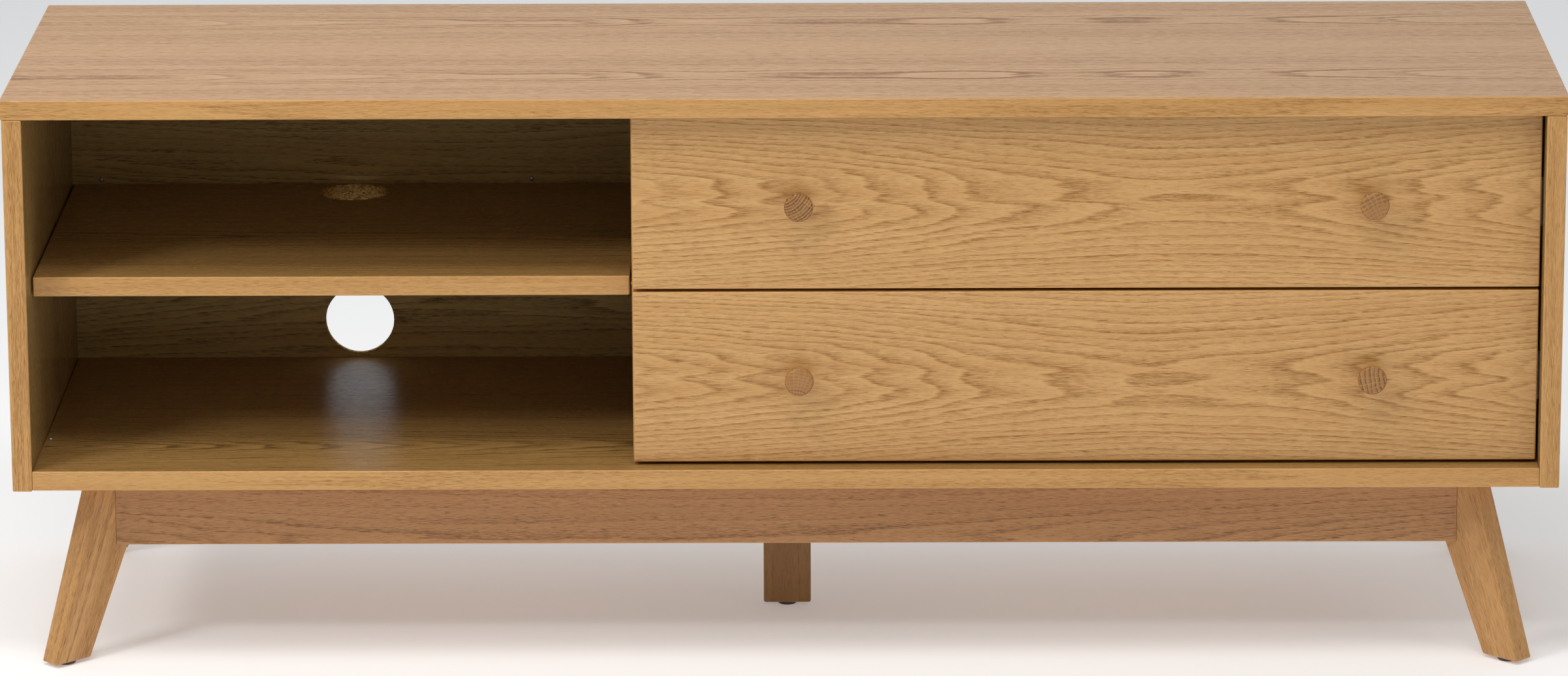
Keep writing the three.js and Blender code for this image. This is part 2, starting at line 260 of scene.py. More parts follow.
def add_world():
    """A dim studio in front and a pale wall behind. The camera itself sees an even backdrop."""
    scene.world = bpy.data.worlds.new("studio")
    graph = Graph(scene.world)
    direction = graph.add("ShaderNodeTexCoord").outputs["Generated"]
    rearward = graph.separate(direction)["Y"]
    level = graph.step(rearward, REAR_START, REAR_FULL, FRONT_LEVEL, REAR_LEVEL)
    surround = graph.add("ShaderNodeBackground", {"Color": SURROUND_COLOUR, "Strength": level})
    backdrop = graph.add("ShaderNodeBackground", {"Color": BACKDROP_COLOUR})
    seen = graph.add("ShaderNodeLightPath").outputs["Is Camera Ray"]
    choose = graph.add("ShaderNodeMixShader", {0: seen, 1: surround.outputs[0], 2: backdrop.outputs[0]})
    graph.add("ShaderNodeOutputWorld", {"Surface": choose.outputs[0]})
    scene.view_settings.view_transform = "Standard"
    scene.view_settings.look = "None"


# ---------------------------------------------------------------- oak

@dataclass(frozen=True)
class Figure:
    """How the growth rings lie in a piece of oak. Lengths are in millimetres.

    The rings are circles round a line along the grain. It lies depth behind the face, and heart
    across from the face's middle. Along the grain they bend into arches.
    """

    ring: float = 7.0             # width of one growth ring
    depth: float = 20.0
    heart: float = 0.0
    arch_middle: float = 0.0      # where along the grain the arches turn round
    arch_length: float = 165.0    # length over which they climb their first ring
    arch_width: float = 40.0      # distance from the heart at which they are half as tall
    steady: bool = False          # whether they climb evenly, and not ever faster
    leaf: float = 0.0             # width of each leaf of veneer, or 0 for one leaf
    leaf_start: float = 0.0       # where across the grain a leaf starts
    wander: float = 0.9           # how far the rings waver
    wander_width: float = 24.0    # how far apart across the grain they waver differently
    notch: float = 0.0            # rings by which the heart is dented, which points the arches
    notch_width: float = 12.0
    swell: float = 0.0            # rings by which the arches rise and fall into closed lenses
    swell_length: float = 170.0
    clear_heart: float = 0.0      # half the width of a strip at the heart with faint lines


@dataclass(frozen=True)
class Tone:
    """The colours of a piece of oak and how strongly each mark shows."""

    pale: tuple
    main: tuple
    dark: tuple
    rings: float = 0.5
    crisp: float = 1.0            # above 1, ring lines are narrower
    pores: float = 0.45
    fibres: float = 0.5
    rays: float = 0.0
    roughness: float = 0.3
    wear: float = 0.25            # how much paler the rubbed edges are


@dataclass(frozen=True)
class Streaks:
    """Noise drawn out along the grain, in millimetres, and the span of its values that counts."""

    length: float
    width: float
    low: float
    high: float
    detail: float = 2.0
    roughness: float = 0.5        # of the noise, not of the surface


SLOW_STRIPES = Streaks(700, 20, 0.22, 0.78, 4.0, 0.6)
FIBRES = Streaks(11, 0.42, 0.36, 0.64, 2.0, 0.6)
LINE_BREAKS = Streaks(26, 1.5, 0.28, 0.6, 3.0, 0.65)
PORES = Streaks(9, 0.75, -0.02, 0.07, 1.0)    # counted from the pore level below

# How strongly a mark shows from the start of a growth ring, at 0, to its end, at 1
EARLY_WOOD = [(0.0, 0.7), (0.07, 1.0), (0.25, 0.55), (0.6, 0.14), (0.9, 0.0), (1.0, 0.7)]
LATE_WOOD = [(0.0, 0.0), (0.72, 0.0), (0.93, 1.0), (1.0, 0.0)]

# Each leaf of veneer is cut a little further along and into the log than the last, in millimetres
LEAF_SHIFT_ALONG = 9.0
LEAF_SHIFT_THROUGH = 0.7

# The slow and quick wavering of the rings: length in millimetres, and rings for a wander of 1
SWAY_LENGTH = 420
SWAY = 3.2
WAVER_LENGTH = 190
WAVER = 1.1
WAVER_NARROWING = 4

# How fast, in each ring, the strength of the rings changes
RING_STRENGTH_PACE = 0.45

# The rays in end grain: how many a radian, how unevenly they lie, and from where to where each fades
RAYS_PER_RADIAN = 8.5
RAY_UNEVENNESS_PACE = 9.0
RAY_RIM = 0.1
RAY_CORE = 0.02

# Shares of dark colour in the face of the wood
GROUND_SHADE = 0.08
LINE_SHADE_AWAY = 0.25
LINE_SHADE_AT_HEART = 0.7
CLEAR_HEART_SHADE = 0.3
BROKEN_LINE_SHADES = (0.35, 1.1)
FIBRE_SHADE = 0.4
FIBRE_SHADE_IN_LINES = 0.6
LATE_WOOD_PALENESS = 0.14

# Pore noise above this level is a pore. It takes less in early wood.
PORE_LEVEL = 0.63
EARLY_WOOD_PORE_LEVEL_DROP = 0.12

# Rubbed edges: length and width of the uneven patches, and least and extra width, in millimetres
RUB_LENGTH = 30
RUB_WIDTH = 6
LEAST_RUB = 0.6
MORE_RUB = 2.4
RUB_FULL = 0.2

# Roughness and relief of the marks
PORE_ROUGHNESS = 0.14
FIBRE_ROUGHNESS = 0.12
PORE_HEIGHT = -0.9
FIBRE_HEIGHT = 0.5
EARLY_WOOD_HEIGHT = -0.35
OAK_RELIEF = 0.06 * MM


def grain_axes(graph, centre, along, across):
    """Sockets with the distances in millimetres from centre, along, across and through the grain."""
    offset = graph.vector("SUBTRACT", graph.place(), tuple(centre))
    directions = (along, across, along.cross(across))
    return [graph.vector("DOT_PRODUCT", offset, tuple(axis * TO_MM)) for axis in directions]


def stretched_noise(graph, axes, length, width, seed, detail=2.0, roughness=0.5):
    """Noise drawn out along the grain: length along it, width across and through it."""
    along, across, through = axes
    scaled = graph.combine(
        graph.math("MULTIPLY_ADD", along, 1 / length, seed * 7.31),
        graph.math("MULTIPLY_ADD", across, 1 / width, seed * 3.17),
        graph.math("MULTIPLY_ADD", through, 1 / width, seed * 5.71),
    )
    return graph.noise(scaled, detail, roughness)


def streak_noise(graph, axes, kind, seed):
    return stretched_noise(graph, axes, kind.length, kind.width, seed, kind.detail, kind.roughness)


def streaks(graph, axes, kind, seed, low=0.0, high=1.0):
    return graph.step(streak_noise(graph, axes, kind, seed), kind.low, kind.high, low, high)


def axes_in_leaf(graph, axes, figure):
    """The grain's axes, starting again in each leaf of veneer."""
    along, across, through = axes
    shifted = graph.math("SUBTRACT", across, figure.leaf_start)
    place_in_leaf = graph.math("FLOORED_MODULO", shifted, figure.leaf)
    leaf_number = graph.math("FLOOR", graph.math("DIVIDE", shifted, figure.leaf))
    return [
        graph.math("MULTIPLY_ADD", leaf_number, LEAF_SHIFT_ALONG, along),
        graph.math("SUBTRACT", place_in_leaf, figure.leaf / 2),
        graph.math("MULTIPLY_ADD", leaf_number, LEAF_SHIFT_THROUGH, through),
    ]


def growth_rings(graph, axes, figure, seed):
    """The number of growth rings out to a point, and its nearness to the heart, which is 1 there."""
    along, across, through = axes
    from_heart = graph.math("SUBTRACT", across, figure.heart)
    from_centre = graph.math("ADD", through, figure.depth)
    squares = [graph.math("POWER", side, 2) for side in (from_heart, from_centre)]
    distance = graph.math("SQRT", graph.math("ADD", *squares))
    reach = graph.math("DIVIDE", graph.math("SUBTRACT", along, figure.arch_middle), figure.arch_length)
    share = graph.math("DIVIDE", from_heart, figure.arch_width)
    spread = graph.math("ADD", graph.math("MULTIPLY", share, share), 1.0)
    swell_place = graph.combine(graph.math("DIVIDE", along, figure.swell_length), seed, 0.0)
    swell_noise = graph.noise(swell_place, 1.0)
    swell = graph.math("MULTIPLY_ADD", swell_noise, 2 * figure.swell, -figure.swell)
    if figure.steady:
        climb = graph.math("SQRT", graph.math("MULTIPLY_ADD", reach, reach, 1.0))
        height = graph.math("ADD", climb, swell)
    else:
        height = graph.math("MULTIPLY_ADD", reach, reach, swell)
    arches = graph.math("DIVIDE", height, spread)
    sway = stretched_noise(graph, axes, SWAY_LENGTH, figure.wander_width, seed)
    waver = stretched_noise(graph, axes, WAVER_LENGTH, figure.wander_width / WAVER_NARROWING, seed + 1)
    notch_reach = graph.math("DIVIDE", from_heart, figure.notch_width)
    notch_spread = graph.math("MULTIPLY_ADD", notch_reach, notch_reach, 1.0)
    rings = graph.math("SUBTRACT", graph.math("DIVIDE", distance, figure.ring), arches)
    rings = graph.math("ADD", rings, graph.math("DIVIDE", figure.notch, notch_spread))
    rings = graph.math("MULTIPLY_ADD", sway, figure.wander * SWAY, rings)
    rings = graph.math("MULTIPLY_ADD", waver, figure.wander * WAVER, rings)
    return rings, graph.math("DIVIDE", 1.0, spread)


def ring_strength(graph, rings, seed):
    """How strongly each ring shows, from 0.4 to 1. Neighbours are alike: it takes about 2 rings to change."""
    place = graph.combine(graph.math("MULTIPLY", rings, RING_STRENGTH_PACE), seed * 2.3, 0.0)
    return graph.step(graph.noise(place, 1.0), 0.32, 0.64, 0.4, 1.0)


def ring_lines(graph, axes, early, nearness, figure, tone, seed):
    """The dark lines of the early wood, broken along their length and clearest near the heart."""
    line = graph.math("POWER", early, tone.crisp)
    line = graph.math("MULTIPLY", line, streaks(graph, axes, LINE_BREAKS, seed, *BROKEN_LINE_SHADES))
    clearness = graph.math("MULTIPLY_ADD", nearness, LINE_SHADE_AT_HEART, LINE_SHADE_AWAY)
    line = graph.math("MULTIPLY", line, clearness)
    if figure.clear_heart:
        from_heart = graph.math("ABSOLUTE", graph.math("SUBTRACT", axes[1], figure.heart))
        clearing = graph.step(from_heart, 1.0, figure.clear_heart, CLEAR_HEART_SHADE, 1.0)
        line = graph.math("MULTIPLY", line, clearing)
    return line


def ray_marks(graph, axes, figure, seed):
    """The pale rays of end grain, which run out from the centre of the rings."""
    angle = graph.math("ARCTAN2", graph.math("ADD", axes[2], figure.depth), axes[1])
    noise_place = graph.combine(graph.math("MULTIPLY", angle, RAY_UNEVENNESS_PACE), seed, 0.0)
    unevenness = graph.noise(noise_place, 2.0)
    place = graph.math("FRACT", graph.math("MULTIPLY_ADD", angle, RAYS_PER_RADIAN, unevenness))
    from_ray = graph.math("ABSOLUTE", graph.math("SUBTRACT", place, 0.5))
    return graph.step(from_ray, RAY_RIM, RAY_CORE)


def edge_distance(graph, low, high):
    """Millimetres from a point on a box to the box's nearest edge."""
    centre = (low + high) / 2
    half = (high - low) / 2
    offset = graph.vector("ABSOLUTE", graph.vector("SUBTRACT", graph.place(), tuple(centre)))
    parts = graph.separate(graph.vector("SUBTRACT", tuple(half), offset))
    smaller = graph.math("MINIMUM", parts[0], parts[1])
    larger = graph.math("MAXIMUM", parts[0], parts[1])
    middle = graph.math("MAXIMUM", smaller, graph.math("MINIMUM", larger, parts[2]))
    return graph.math("MULTIPLY", middle, TO_MM)


def rubbed_edges(graph, axes, box, wear, seed):
    """How much paler a board is within 0.6 to 3 mm of its edges."""
    patches = stretched_noise(graph, axes, RUB_LENGTH, RUB_WIDTH, seed, 3.0)
    width = graph.math("MULTIPLY_ADD", patches, MORE_RUB, LEAST_RUB)
    share = graph.math("DIVIDE", edge_distance(graph, *box), width)
    return graph.step(share, RUB_FULL, 1.0, wear, 0.0)


def oak(name, centre, along, across, figure, tone, seed, box=None):
    """Lacquered oak: growth rings, pores, fibres and slow colour change, with the box's edges rubbed."""
    graph = material_graph(name)
    board_axes = grain_axes(graph, centre, along, across)
    axes = axes_in_leaf(graph, board_axes, figure) if figure.leaf else board_axes
    rings, nearness = growth_rings(graph, axes, figure, seed)
    strength = ring_strength(graph, rings, seed)
    in_ring = graph.math("FRACT", rings)
    early = graph.math("MULTIPLY", graph.ramp(in_ring, EARLY_WOOD), strength)
    late = graph.math("MULTIPLY", graph.ramp(in_ring, LATE_WOOD), strength)
    fibre = graph.math("SUBTRACT", streaks(graph, axes, FIBRES, seed + 3), 0.5)
    pore_level = graph.math("MULTIPLY_ADD", early, -EARLY_WOOD_PORE_LEVEL_DROP, PORE_LEVEL)
    pore_excess = graph.math("SUBTRACT", streak_noise(graph, axes, PORES, seed + 4), pore_level)
    pore = graph.step(pore_excess, PORES.low, PORES.high)

    shade = ring_lines(graph, axes, early, nearness, figure, tone, seed + 6)
    shade = graph.math("MULTIPLY_ADD", graph.math("MULTIPLY", fibre, early), FIBRE_SHADE_IN_LINES, shade)
    shade = graph.math("MULTIPLY", shade, tone.rings)
    shade = graph.math("MULTIPLY_ADD", fibre, tone.fibres * FIBRE_SHADE, shade)
    shade = graph.math("MULTIPLY_ADD", pore, tone.pores, shade)
    shade = graph.math("MULTIPLY_ADD", late, -LATE_WOOD_PALENESS * tone.rings, shade)
    shade = graph.math("ADD", shade, GROUND_SHADE)
    if tone.rays:
        rays = ray_marks(graph, axes, figure, seed)
        shade = graph.math("MULTIPLY_ADD", rays, -tone.rays, shade)
    if box:
        shade = graph.math("SUBTRACT", shade, rubbed_edges(graph, board_axes, box, tone.wear, seed + 5))
    shade = graph.math("ADD", shade, 0.0, clamp=True)
    ground = graph.mix(streaks(graph, axes, SLOW_STRIPES, seed + 2), tone.main, tone.pale)
    tint = graph.mix(shade, ground, tone.dark)

    roughness = graph.math("MULTIPLY_ADD", pore, PORE_ROUGHNESS, tone.roughness)
    roughness = graph.math("MULTIPLY_ADD", fibre, FIBRE_ROUGHNESS, roughness)
    height = graph.math("MULTIPLY_ADD", pore, PORE_HEIGHT, graph.math("MULTIPLY", fibre, FIBRE_HEIGHT))
    height = graph.math("MULTIPLY_ADD", early, EARLY_WOOD_HEIGHT, height)
    return graph.finish(tint, roughness, height, OAK_RELIEF)


TOP_TONE = Tone(
    pale=colour(212, 168, 122), main=colour(204, 159, 112), dark=colour(142, 92, 44),
    rings=3.0, crisp=2.0, pores=0.24, fibres=0.7, roughness=0.36,
)
FRONT_TONE = Tone(
    pale=colour(219, 172, 111), main=colour(206, 156, 94), dark=colour(148, 98, 32),
    rings=0.72, pores=0.3, fibres=0.85, roughness=0.34,
)
OUTER_TONE = replace(FRONT_TONE, rings=0.7)
# A darker copy of the outer oak for the faces inside the bay: painted shade, added to the shade that the
# lamps give there
BAY_PAINTED_SHADE_TONE = replace(
    OUTER_TONE, pale=colour(180, 146, 91), main=colour(166, 131, 76), dark=colour(98, 72, 30),
    rings=1.3, roughness=0.22,
)
# A darker copy of the oak for the shelf and floor inside the bay: painted shade
SHELF_PAINTED_SHADE_TONE = replace(
    BAY_PAINTED_SHADE_TONE, pale=colour(187, 145, 87), main=colour(172, 130, 73), rings=1.0, pores=0.22,
)
BACK_TONE = replace(
    OUTER_TONE, pale=colour(222, 190, 114), main=colour(208, 171, 96), dark=colour(116, 84, 30),
    rings=0.9, roughness=0.42,
)
EDGE_TONE = replace(FRONT_TONE, pale=colour(212, 163, 100), main=colour(201, 149, 84), rings=0.4)
LEG_TONE = Tone(
    pale=colour(214, 163, 102), main=colour(194, 143, 83), dark=colour(142, 94, 42),
    rings=0.6, pores=0.3, fibres=1.1, roughness=0.38,
)
RAIL_TONE = Tone(
    pale=colour(196, 144, 92), main=colour(184, 131, 80), dark=colour(124, 80, 42),
    rings=0.55, pores=0.4, fibres=1.3, roughness=0.4,
)
# A darker copy of the rail oak for the centre rail and leg, which stand back under the carcass: painted shade
RAIL_PAINTED_SHADE_TONE = replace(RAIL_TONE, pale=colour(162, 120, 64), main=colour(148, 106, 54))
KNOB_TONE = Tone(
    pale=colour(184, 134, 78), main=colour(168, 118, 63), dark=colour(104, 64, 24),
    pores=0.3, fibres=0.3, rays=0.8, roughness=0.42,
)
BOX_TONE = Tone(
    pale=colour(226, 202, 164), main=colour(214, 186, 146), dark=colour(168, 130, 88),
    rings=0.22, pores=0.1, fibres=0.35, roughness=0.45,
)

TOP_FIGURE = Figure(
    ring=5.0, depth=22, arch_middle=150, arch_length=360, arch_width=36,
    leaf=236, leaf_start=-230, wander=0.3, wander_width=22, notch=0.5, notch_width=8,
    swell=4.4, swell_length=290, clear_heart=12,
)
BAY_FIGURE = Figure(depth=30, heart=-122, arch_middle=320, arch_length=290, arch_width=44)
DIVIDER_FIGURE = Figure(depth=30, arch_middle=-90, arch_length=160, arch_width=45)
SHELF_FIGURE = Figure(ring=6, depth=26, heart=-30, arch_middle=60, arch_length=260)
BACK_FIGURE = Figure(
    ring=9, depth=22, heart=-60, arch_middle=-260, arch_length=150, arch_width=60, wander=1.4,
)
EDGE_FIGURE = Figure(ring=3.4, depth=60, arch_length=600, wander=0.5, wander_width=9)
LEG_FIGURE = Figure(ring=6, depth=34, heart=8, arch_length=190, arch_width=30, wander=0.8)
RAIL_FIGURE = Figure(
    depth=36, heart=-36, arch_middle=-120, arch_length=260, arch_width=34, wander=0.7,
)
CENTRE_RAIL_FIGURE = Figure(ring=8, depth=30, arch_length=240)
CENTRE_LEG_FIGURE = replace(CENTRE_RAIL_FIGURE, ring=5)


# ---------------------------------------------------------------- other materials

def metal(name, tint, roughness, seed):
    """Zinc-plated steel: fine drawn lines along Y and a mottled plating."""
    graph = material_graph(name)
    axes = grain_axes(graph, Vector((0, 0, 0)), Y_AXIS, X_AXIS)
    lines = stretched_noise(graph, axes, 40, 0.35, seed)
    mottle = graph.even_noise(160, 3.0)
    dull = tuple(part * 0.7 for part in tint[:3]) + (1,)
    surface = graph.mix(graph.step(mottle, 0.35, 0.7), dull, tint)
    rough = graph.math("MULTIPLY_ADD", lines, 0.25, roughness)
    rough = graph.math("MULTIPLY_ADD", mottle, 0.12, rough)
    return graph.finish(surface, rough, lines, 0.02 * MM, Metallic=1.0)


def moulded_plastic(name, tint):
    """Finely grained plastic, with faint clouds in its colour and gloss."""
    graph = material_graph(name)
    spots = graph.even_noise(900, 3.0)
    clouds = graph.even_noise(60, 2.0)
    light = tuple(min(1.0, part * 1.5) for part in tint[:3]) + (1,)
    surface = graph.mix(graph.step(clouds, 0.3, 0.7), tint, light)
    rough = graph.math("MULTIPLY_ADD", clouds, 0.2, 0.42)
    return graph.finish(surface, rough, spots, 0.05 * MM)


def particle_board(name):
    """The pressed chips in a cut edge, with dark dust between them."""
    graph = material_graph(name)
    place = graph.scaled_place(620, 620, 1100)
    chips = graph.add("ShaderNodeTexVoronoi", {"Vector": place, "Scale": 1.0}).outputs
    dust = graph.even_noise(1800, 3.0)
    levels = graph.add("ShaderNodeSeparateColor", {0: chips["Color"]}).outputs[0]
    surface = graph.mix(levels, colour(122, 84, 38), colour(246, 200, 118))
    surface = graph.mix(graph.step(dust, 0.45, 0.7, 0.0, 0.5), surface, colour(70, 46, 22))
    rough = graph.math("MULTIPLY_ADD", dust, 0.2, 0.72)
    return graph.finish(surface, rough, chips["Distance"], 0.3 * MM)


def floor_finish():
    """White acrylic: matt and faintly clouded, with a painted glow that lifts the shadow under and around the
    bench.
    """
    graph = material_graph("pale_floor_acrylic")
    clouds = graph.even_noise(0.6, 2.0)
    grit = graph.even_noise(240, 2.0)
    surface = graph.mix(clouds, (0.85, 0.855, 0.86, 1), (0.88, 0.88, 0.88, 1))
    rough = graph.math("MULTIPLY_ADD", grit, 0.1, 0.85)
    return graph.finish(
        surface, rough, grit, 0.02 * MM,
        Specular_IOR_Level=0.1, Emission_Color=(1, 1, 1, 1), Emission_Strength=FLOOR_PAINTED_GLOW,
    )


# ---------------------------------------------------------------- mesh building

def piece_from(mesh_data, name, materials):
    """A smooth-shaded piece from a bmesh, with its materials."""
    mesh = bpy.data.meshes.new(name)
    bmesh.ops.recalc_face_normals(mesh_data, faces=mesh_data.faces)
    mesh_data.to_mesh(mesh)
    mesh_data.free()
    mesh.shade_smooth()
    for material in materials:
        mesh.materials.append(material)
    piece = bpy.data.objects.new(name, mesh)
    scene.collection.objects.link(piece)
    return piece


def weigh_normals(piece):
    """Flat faces lead the smooth shading, so only the easings look round."""
    modifier = piece.modifiers.new("flat_faces_lead", "WEIGHTED_NORMAL")
    modifier.keep_sharp = True
    modifier.weight = FLAT_WEIGHT


def stand_in(piece, node):
    """The piece is seen in place of the CAD node and moves with its body."""
    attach(piece, BODY_OF[node])
    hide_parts(node)
    weigh_normals(piece)


def box_mesh(low, high):
    mesh_data = bmesh.new()
    bmesh.ops.create_cube(mesh_data, size=1)
    for vertex in mesh_data.verts:
        vertex.co = (low + high) / 2 + vertex.co * (high - low)
    return mesh_data


def ease(mesh_data, easing):
    """Rounds every edge of a solid. Returns the same bmesh."""
    bmesh.ops.bevel(
        mesh_data,
        geom=mesh_data.edges[:],
        offset=easing,
        offset_type="OFFSET",
        segments=EASING_SEGMENTS,
        profile=0.5,
        affect="EDGES",
    )
    return mesh_data


def eased_prism(outline, depth, easing):
    """A closed solid from a flat outline of points, drawn out by the depth vector."""
    mesh_data = bmesh.new()
    near = [mesh_data.verts.new(point) for point in outline]
    far = [mesh_data.verts.new(point + depth) for point in outline]
    mesh_data.faces.new(near)
    mesh_data.faces.new(reversed(far))
    for i in range(len(outline)):
        j = (i + 1) % len(outline)
        mesh_data.faces.new((near[i], far[i], far[j], near[j]))
    bmesh.ops.recalc_face_normals(mesh_data, faces=mesh_data.faces)
    return ease(mesh_data, easing)


def turned(profile, segments, place):
    """A solid of revolution. The profile holds (radius, height) from the axis round and back to it."""
    mesh_data = bmesh.new()
    rings = []
    for radius, height in profile:
        angles = [2 * math.pi * i / segments for i in range(segments)] if radius else [0.0]
        spots = [(radius * math.cos(angle), radius * math.sin(angle), height) for angle in angles]
        rings.append([mesh_data.verts.new(place @ Vector(spot)) for spot in spots])
    for lower, upper in zip(rings, rings[1:]):
        for i in range(segments):
            j = (i + 1) % segments
            corners = [
                lower[i % len(lower)], lower[j % len(lower)],
                upper[j % len(upper)], upper[i % len(upper)],
            ]
            mesh_data.faces.new(list(dict.fromkeys(corners)))
    return mesh_data


def cut(piece, cutter_data):
    """Takes a solid out of a board. The cut's own faces take the board's cut material."""
    for face in cutter_data.faces:
        face.material_index = CUT
    cutter = piece_from(cutter_data, "cutter", [None] * (CUT + 1))
    modifier = piece.modifiers.new("cut", "BOOLEAN")
    modifier.object = cutter
    modifier.operation = "DIFFERENCE"
    modifier.solver = "EXACT"
    bpy.context.view_layer.update()
    result = bpy.data.meshes.new_from_object(piece.evaluated_get(bpy.context.evaluated_depsgraph_get()))
    piece.modifiers.clear()
    piece.data = result
    bpy.data.objects.remove(cutter)


# ---------------------------------------------------------------- the pieces

def board(node, easing, face_axis, veneers, edge_material, cutters=()):
    """A veneered board in a CAD board's place.

    veneers holds the material of the face that face_axis points out of, then the opposite face's.
    Each cutter is taken out of the board, which shows particle board there.
    """
    materials = [veneers[0], edge_material, chipboard, veneers[1]]
    piece = piece_from(ease(box_mesh(*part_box(node)), easing), f"{node}_oak", materials)
    for polygon in piece.data.polygons:
        lean = polygon.normal.dot(face_axis)
        if abs(lean) < FACE_LEAN:
            polygon.material_index = EDGE
        else:
            polygon.material_index = FACE if lean > 0 else REVERSE
    for cutter in cutters:
        cut(piece, cutter)
    stand_in(piece, node)


def centre_of(node):
    low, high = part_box(node)
    return (low + high) / 2


def veneer(node, along, across, figure, tone, seed, name=None):
    label = name or f"{node}_veneer"
    return oak(label, centre_of(node), along, across, figure, tone, seed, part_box(node))


def edge_band(node, along, across, seed):
    return veneer(node, along, across, EDGE_FIGURE, EDGE_TONE, seed, f"{node}_edge_band")


def groove_cutter():
    """The groove round the inside of the carcass that takes the back panel."""
    low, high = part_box("back_panel")
    room = Vector((GROOVE_SLACK, GROOVE_SLACK, GROOVE_SLACK))
    return box_mesh(low - room, high + room)


def opening_centre(name):
    """The centre of an opening that the record states."""
    openings = frame["record"]["physics"]["openings"]
    low, high = next(opening["box_m"] for opening in openings if opening["name"] == name)
    return (Vector(low) + Vector(high)) / 2


def hole_cutter(node, opening, axis):
    """A round cutter through a board at a stated opening, a little wider at both faces."""
    low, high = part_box(node)
    half = abs((high - low).dot(axis)) / 2
    wide = CABLE_HOLE_RADIUS + 2 * CABLE_HOLE_LIP
    profile = [
        (0, -half - CABLE_HOLE_LIP),
        (wide, -half - CABLE_HOLE_LIP),
        (CABLE_HOLE_RADIUS, -half + CABLE_HOLE_LIP),
        (CABLE_HOLE_RADIUS, half - CABLE_HOLE_LIP),
        (wide, half + CABLE_HOLE_LIP),
        (0, half + CABLE_HOLE_LIP),
    ]
    centre = opening_centre(opening)
    centre += axis * (centre_of(node) - centre).dot(axis)
    place = Matrix.Translation(centre) @ axis.to_track_quat("Z", "Y").to_matrix().to_4x4()
    return turned(profile, CABLE_HOLE_SEGMENTS, place)


def add_carcass():
    face = veneer("top_panel", X_AXIS, Y_AXIS, TOP_FIGURE, TOP_TONE, 1)
    under = veneer("top_panel", X_AXIS, Y_AXIS, BAY_FIGURE, BAY_PAINTED_SHADE_TONE, 14, "top_panel_underside")
    edge = edge_band("top_panel", X_AXIS, Z_AXIS, 2)
    board("top_panel", BOARD_EASING, Z_AXIS, [face, under], edge, [groove_cutter()])

    face = veneer("bottom_panel", X_AXIS, Y_AXIS, BAY_FIGURE, SHELF_PAINTED_SHADE_TONE, 3)
    under = veneer("bottom_panel", X_AXIS, Y_AXIS, BAY_FIGURE, OUTER_TONE, 15, "bottom_panel_underside")
    edge = edge_band("bottom_panel", X_AXIS, Z_AXIS, 4)
    board("bottom_panel", BOARD_EASING, Z_AXIS, [face, under], edge, [groove_cutter()])

    for i, side in enumerate(("left", "right")):
        node = f"{side}_side_panel"
        figure = Figure(depth=22, heart=20 - 50 * i, arch_middle=120, arch_length=150, arch_width=45)
        inner = veneer(node, Z_AXIS, Y_AXIS, figure, BAY_PAINTED_SHADE_TONE, 5 + i, f"{node}_inner_veneer")
        outer = veneer(node, Z_AXIS, Y_AXIS, figure, OUTER_TONE, 16 + i)
        edge = edge_band(node, Z_AXIS, X_AXIS, 7 + i)
        board(node, BOARD_EASING, (1 - 2 * i) * X_AXIS, [inner, outer], edge, [groove_cutter()])

    face = veneer("centre_divider", Z_AXIS, Y_AXIS, DIVIDER_FIGURE, BAY_PAINTED_SHADE_TONE, 9)
    edge = edge_band("centre_divider", Z_AXIS, X_AXIS, 10)
    board("centre_divider", BOARD_EASING, X_AXIS, [face, face], edge)

    face = veneer("bay_shelf", X_AXIS, Y_AXIS, SHELF_FIGURE, SHELF_PAINTED_SHADE_TONE, 11)
    edge = edge_band("bay_shelf", X_AXIS, Z_AXIS, 12)
    hole = hole_cutter("bay_shelf", "shelf_cable_hole", Z_AXIS)
    board("bay_shelf", BOARD_EASING, Z_AXIS, [face, face], edge, [hole])

    inner = veneer("back_panel", X_AXIS, Z_AXIS, BACK_FIGURE, BACK_TONE, 13, "back_panel_inner_veneer")
    outer = veneer("back_panel", X_AXIS, Z_AXIS, BACK_FIGURE, OUTER_TONE, 18)
    hole = hole_cutter("back_panel", "back_cable_hole", Y_AXIS)
    board("back_panel", BACK_PANEL_EASING, Y_AXIS, [outer, inner], chipboard, [hole])


def add_drawer_fronts():
    for i, level in enumerate(("upper", "lower")):
        node = f"{level}_drawer_front"
        figure = Figure(
            ring=5.2, depth=42 + i, heart=3 - 6 * i, arch_middle=90 - 12 * i, arch_length=50,
            arch_width=80, wander=0.8, wander_width=30, notch=1.2, notch_width=8, swell=1.4,
            steady=True,
        )
        face = veneer(node, X_AXIS, Z_AXIS, figure, FRONT_TONE, 20)
        board(node, BOARD_EASING, Y_AXIS, [face, face], edge_band(node, X_AXIS, Y_AXIS, 22 + i))


def add_drawer_boxes():
    for i, level in enumerate(("upper", "lower")):
        for j, part in enumerate(("left_side", "right_side", "back", "bottom")):
            node = f"{level}_drawer_{part}"
            along = X_AXIS if part in ("back", "bottom") else Y_AXIS
            across = Y_AXIS if part == "bottom" else Z_AXIS
            figure = Figure(ring=11, depth=40, heart=10 * j, arch_length=320, arch_width=60)
            face = veneer(node, along, across, figure, BOX_TONE, 30 + 4 * i + j)
            board(node, DRAWER_BOARD_EASING, along.cross(across), [face, face], face)


def quarter_turn(steps):
    return [math.pi / 2 * i / steps for i in range(steps + 1)]


